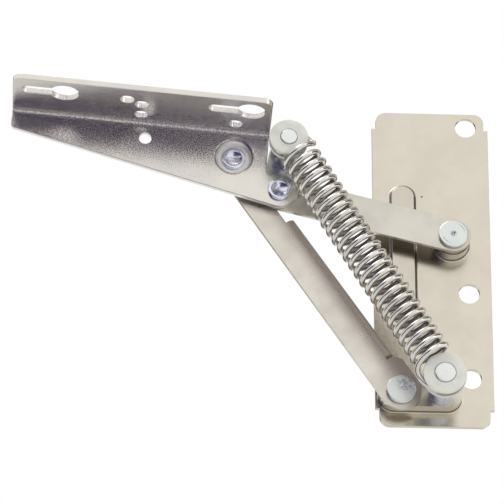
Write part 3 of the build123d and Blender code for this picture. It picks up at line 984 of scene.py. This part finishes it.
@dataclass
class SpringRollers:
    """The rollers on the two posts."""

    lower: Roller = Roller("lower_spring_roller", Body.SPRING, LAYOUT.lower_post, 3.55, 5.2, 7.3)
    upper: Roller = Roller("upper_spring_roller", Body.SHORT_ARM, LAYOUT.upper_post, 2.85, 4.4, 6.6)

    def build(self) -> None:
        """Make and dress both rollers."""
        nylon = ROLLER_NYLON.build()
        for roller in (self.lower, self.upper):
            piece = turned(roller.node, roller.centre, roller.outline(), FINEST)
            finish_piece(piece, nylon, roller.body, roller.node)


@dataclass(frozen=True)
class EndLoop:
    """Loop at one end of the spring: its arc round the roller and its bend up to the coil.

    radius is that of the wire's centre, in mm; start is where the arc meets the bend and wrap its
    length, in degrees; lead is the part of the coil's first turn given up to the bend, in degrees;
    reach is how far the bend keeps the directions it joins, in mm; gap is the way along the axis
    from the post's centre to the coil's first turn, in mm.
    """

    radius: float
    start: float
    wrap: float
    lead: float
    reach: float
    gap: float


@dataclass
class TensionSpring:
    """Round wire coiled between the posts, with a loop round the roller at each end.

    In the spring's own frame x runs from the lower post to the upper one, z towards the viewer and
    y to the left. The coil at turn t is (gap + pitch t / 2 pi, R cos t, R sin t). Each end loop is an
    arc round its roller in the plane z = 0, and a cubic bend joins it to the coil. Sizes are in mm;
    nose is how far the wire's rounded end stands out, and levels the steps of its stretch.
    """

    layout: Layout = LAYOUT
    wire_radius: float = 1.0
    coil_radius: float = 6.0
    turns: float = 24.5
    lower: EndLoop = EndLoop(radius=6.35, start=120.0, wrap=195.0, lead=45.0, reach=6.5, gap=7.2)
    upper: EndLoop = EndLoop(radius=5.55, start=91.0, wrap=215.0, lead=42.0, reach=5.5, gap=5.9)
    nose: float = 0.5
    steps_per_turn: int = 36
    loop_points: int = 60
    bend_points: int = 24
    nose_rings: int = 5
    around: int = 16
    levels: int = 200

    def __post_init__(self) -> None:
        """Find the origin, the axes, the length and the pitch of the spring's own frame."""
        low, high = np.array(self.layout.lower_post), np.array(self.layout.upper_post)
        self.length = float(np.linalg.norm(high - low))
        ax, az = (high - low) / self.length
        self.axes = np.array([(ax, 0, az), (-az, 0, ax), (0, -1, 0)])
        self.origin = np.array([low[0], -self.layout.spring_height, low[1]])
        self.coil_length = self.length - self.lower.gap - self.upper.gap
        self.pitch = self.coil_length / self.turns

    def coil(self, turn: np.ndarray, gap: float) -> np.ndarray:
        """Points of the coil at turns in radians from its start, which is gap along the axis."""
        return np.stack([gap + self.pitch * turn / (2 * pi), self.coil_radius * np.cos(turn),
                         self.coil_radius * np.sin(turn)], -1)

    def end(self, shape: EndLoop) -> np.ndarray:
        """Centre line of an end: the loop from its free end, then the bend up to the coil.

        Args:
            shape: the end's sizes.

        Returns:
            Array of shape (n, 3), with the post's centre as its origin.
        """
        turn = np.radians(shape.start + shape.wrap * np.linspace(1, 0, self.loop_points))
        loop = shape.radius * np.stack([np.cos(turn), np.sin(turn), 0 * turn], -1)
        start, lead = radians(shape.start), radians(shape.lead)
        leaving = np.array([sin(start), -cos(start), 0])
        joined = self.coil(np.array([lead]), shape.gap)[0]
        heading = np.array([self.pitch / (2 * pi), -self.coil_radius * sin(lead),
                            self.coil_radius * cos(lead)])
        heading /= np.linalg.norm(heading)
        handles = (loop[-1], loop[-1] + leaving * shape.reach, joined - heading * shape.reach, joined)
        t = np.linspace(0, 1, self.bend_points + 2)[1:-1, None]
        weights = ((1 - t) ** 3, 3 * (1 - t) ** 2 * t, 3 * (1 - t) * t ** 2, t ** 3)
        bend = sum(weight * handle for weight, handle in zip(weights, handles))
        return np.vstack([loop, bend])

    def centre_line(self) -> np.ndarray:
        """Whole wire, from the lower loop's free end to the upper one's.

        Returns:
            Array of shape (n, 3), in the spring's own frame.
        """
        wound = 2 * pi * self.turns - radians(self.lower.lead + self.upper.lead)
        steps = ceil(wound / (2 * pi) * self.steps_per_turn)
        turn = radians(self.lower.lead) + wound * np.linspace(0, 1, steps + 1)
        upper = self.end(self.upper)[::-1]
        upper = np.stack([self.length - upper[:, 0], -upper[:, 1], upper[:, 2]], -1)
        return np.vstack([self.end(self.lower), self.coil(turn, self.lower.gap), upper])

    def tube(self, line: np.ndarray) -> tuple[np.ndarray, np.ndarray]:
        """Round tube along a line, its ends rounded over.

        A ring lies across the line's direction d on two axes n and b, where n is carried along
        without twist; ring points are p + r (n cos a + b sin a).

        Args:
            line: centre line, array of shape (n, 3).

        Returns:
            The points and the quads.
        """
        ahead = np.gradient(line, axis=0)
        ahead /= np.linalg.norm(ahead, axis=1, keepdims=True)
        normal = np.zeros_like(line)
        first = np.cross(ahead[0], (0.0, 0.0, 1.0))
        normal[0] = first / np.linalg.norm(first)
        for index in range(1, len(line)):
            carried = normal[index - 1] - ahead[index] * (normal[index - 1] @ ahead[index])
            normal[index] = carried / np.linalg.norm(carried)
        side = np.cross(ahead, normal)
        cap = np.linspace(0, pi / 2, self.nose_rings + 1)[:-1]
        narrow, out = self.wire_radius * np.sin(cap), self.nose * np.cos(cap)
        radii = np.concatenate([narrow, np.full(len(line), self.wire_radius), narrow[::-1]])
        shift = np.concatenate([-out, np.zeros(len(line)), out[::-1]])
        pick = np.concatenate([np.zeros(self.nose_rings, int), np.arange(len(line)),
                               np.full(self.nose_rings, len(line) - 1)])
        centre = line[pick] + ahead[pick] * shift[:, None]
        angle = np.linspace(0, 2 * pi, self.around, endpoint=False)[None, :, None]
        ring = normal[pick][:, None] * np.cos(angle) + side[pick][:, None] * np.sin(angle)
        points = centre[:, None] + radii[:, None, None] * ring
        return points.reshape(-1, 3), grid_quads(len(pick), self.around)

    def build(self) -> None:
        """Make the wire, ride it on its body and let its far end follow the upper post."""
        points, quads = self.tube(self.centre_line())
        piece = new_mesh("tension_spring_wire", (self.origin + points @ self.axes) * MM, quads)
        finish_piece(piece, WIRE_STEEL.build(), Body.SPRING, "tension_spring")
        self.follow_upper_post(piece)

    def follow_upper_post(self, piece: bpy.types.Object) -> None:
        """Stretch the wire in proportion to the way along it, as the upper post moves off.

        An empty rides on the short arm at the upper post and keeps the spring's direction; each
        point goes with it by its share of the coil's length, so both loops keep their shape.

        Args:
            piece: the wire.
        """
        eye = bpy.data.objects.new("upper_eye", None)
        bpy.context.scene.collection.objects.link(eye)
        x, z = self.layout.upper_post
        eye.location = Vector((x, -self.layout.spring_height, z)) * MM
        eye.parent = frame["bodies"][Body.SHORT_ARM.value]
        steer = eye.constraints.new("COPY_ROTATION")
        steer.target = frame["bodies"][Body.SPRING.value]
        bpy.context.view_layer.update()
        place = np.zeros(len(piece.data.vertices) * 3)
        piece.data.vertices.foreach_get("co", place)
        along = (place.reshape(-1, 3) / MM - self.origin) @ self.axes[0]
        share = np.round(np.clip((along - self.lower.gap) / self.coil_length, 0, 1) * self.levels)
        group = piece.vertex_groups.new(name="stretch")
        for level in range(1, self.levels + 1):
            chosen = np.flatnonzero(share == level)
            if len(chosen):
                group.add(chosen.tolist(), level / self.levels, "REPLACE")
        hook = piece.modifiers.new("stretch", "HOOK")
        hook.object = eye
        hook.vertex_group = group.name
        hook.falloff_type = "NONE"
        hook.matrix_inverse = eye.matrix_world.inverted() @ piece.matrix_world


# ---- the room ----
@dataclass(frozen=True)
class Lamp:
    """Square soft lamp that faces the stay, with its place and side in metres and its power in watts."""

    name: str
    place: Place
    side: float
    power: float


@dataclass(frozen=True)
class Flag:
    """Dark card that only reflections see, for the shade that gives metal its form, in metres."""

    name: str
    place: Place
    width: float
    height: float
    shade: Colour


@dataclass
class Studio:
    """Pale room, soft lamps and a camera below the stay, looking up at it.

    aim, distance, view_width and sensor are in mm; azimuth and elevation in degrees; clip, the
    floor's side and its drop in metres.
    """

    aim: Place = (-74.8, -8.0, -5.1)
    azimuth: float = -3.0
    elevation: float = -26.0
    distance: float = 1500.0
    view_width: float = 172.0
    sensor: float = 36.0
    clip: Point = (0.01, 20.0)
    lamps: tuple[Lamp, ...] = (Lamp("key", (-0.45, -0.35, 1.0), side=0.5, power=2.4),
                               Lamp("fill", (0.9, -0.5, 0.5), side=0.5, power=1.2))
    flags: tuple[Flag, ...] = (Flag("front_flag", (-0.25, -0.33, -0.035), 0.44, 0.30, (0.06, 0.05, 0.14)),
                               Flag("back_flag", (0.0, 0.64, 0.32), 1.4, 0.56, (0.12, 0.11, 0.11)),
                               Flag("upper_flag", (0.52, -0.04, 0.78), 1.0, 1.0, (0.52, 0.48, 0.46)),
                               Flag("left_flag", (-0.95, -0.14, -0.16), 0.9, 0.7, (0.14, 0.12, 0.12)),
                               Flag("right_flag", (0.12, -0.035, 0.062), 0.17, 0.09, (0.14, 0.12, 0.12)))
    flag_roughness: float = 1.0
    floor_side: float = 6.0
    floor_drop: float = 0.8
    floor_tint: Colour = (0.85, 0.85, 0.84)
    floor_roughness: float = 0.9
    soft_light: Colour = (0.85, 0.85, 0.86)
    white_light: Colour = (1.0, 1.0, 1.0)

    def build(self) -> None:
        """Set the camera, the world, the lamps, the flags and the floor."""
        bpy.context.scene.view_settings.view_transform = "Standard"
        self.camera()
        self.world()
        for lamp in self.lamps:
            self.light(lamp)
        for flag in self.flags:
            card = self.card(flag.name, flag.width, flag.height, flag.shade, self.flag_roughness)
            card.location = flag.place
            card.rotation_euler = self.towards_stay(flag.place)
            card.visible_camera = card.visible_diffuse = False
            card.visible_shadow = card.visible_transmission = False
        floor = self.card("floor", self.floor_side, self.floor_side, self.floor_tint, self.floor_roughness)
        floor.location = (0.0, 0.0, -self.floor_drop)

    def camera(self) -> None:
        """Long lens on the line through the aim at the azimuth and the elevation."""
        azimuth, elevation = radians(self.azimuth), radians(self.elevation)
        back = Vector((sin(azimuth) * cos(elevation), -cos(azimuth) * cos(elevation), sin(elevation)))
        data = bpy.data.cameras.new("camera")
        data.sensor_width = self.sensor
        data.lens = self.sensor * self.distance / self.view_width
        data.clip_start, data.clip_end = self.clip
        camera = bpy.data.objects.new("camera", data)
        camera.location = (Vector(self.aim) + back * self.distance) * MM
        camera.rotation_euler = (-back).to_track_quat("-Z", "Y").to_euler()
        bpy.context.scene.collection.objects.link(camera)
        bpy.context.scene.camera = camera

    def towards_stay(self, place: Place) -> Euler:
        """Turn that points a lamp's or a card's -Z at the stay from a place in metres."""
        return (Vector(self.aim) * MM - Vector(place)).to_track_quat("-Z", "Y").to_euler()

    def light(self, lamp: Lamp) -> None:
        """Hang a lamp.

        Args:
            lamp: its place, size and power.
        """
        data = bpy.data.lights.new(lamp.name, "AREA")
        data.shape = "SQUARE"
        data.size = lamp.side
        data.energy = lamp.power
        piece = bpy.data.objects.new(lamp.name, data)
        piece.location = lamp.place
        piece.rotation_euler = self.towards_stay(lamp.place)
        bpy.context.scene.collection.objects.link(piece)

    def card(self, name: str, width: float, height: float, tint: Colour,
             roughness: float) -> bpy.types.Object:
        """Flat painted card about its own centre, which belongs to the room.

        Args:
            name: the card's name.
            width: its width, in metres.
            height: its height, in metres.
            tint: its colour.
            roughness: its roughness.

        Returns:
            The new object.
        """
        corners = np.array([(-0.5, -0.5, 0.0), (0.5, -0.5, 0.0), (0.5, 0.5, 0.0), (-0.5, 0.5, 0.0)])
        piece = new_mesh(name, corners * (width, height, 1.0), np.array([(0, 1, 2, 3)]))
        paint = NodeBoard(name + "_paint").finish({"Base Color": tint, "Roughness": roughness})
        piece.data.materials.append(paint)
        return piece

    def world(self) -> None:
        """White to the camera and in reflections, and a softer light on matt surfaces."""
        world = bpy.data.worlds.new("room")
        bpy.context.scene.world = world
        world.use_nodes = True
        tree = world.node_tree
        tree.nodes.clear()
        path = add_node(tree, "LightPath", {})
        share = path["Is Camera Ray"]
        for ray in ("Is Glossy Ray", "Is Transmission Ray"):
            share = add_node(tree, "Math", {0: share, 1: path[ray]}, operation="MAXIMUM")[0]
        soft, white = (add_node(tree, "Background", {"Color": light})[0]
                       for light in (self.soft_light, self.white_light))
        blend = add_node(tree, "MixShader", {0: share, 1: soft, 2: white})[0]
        add_node(tree, "OutputWorld", {"Surface": blend})


def main() -> None:
    """Build, dress and light the lid stay."""
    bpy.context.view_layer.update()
    Sheets().build()
    PlateRivets().build()
    SpringPosts().build()
    BracketRivets().build()
    SpringRollers().build()
    TensionSpring().build()
    Studio().build()


if __name__ == "__main__":
    main()
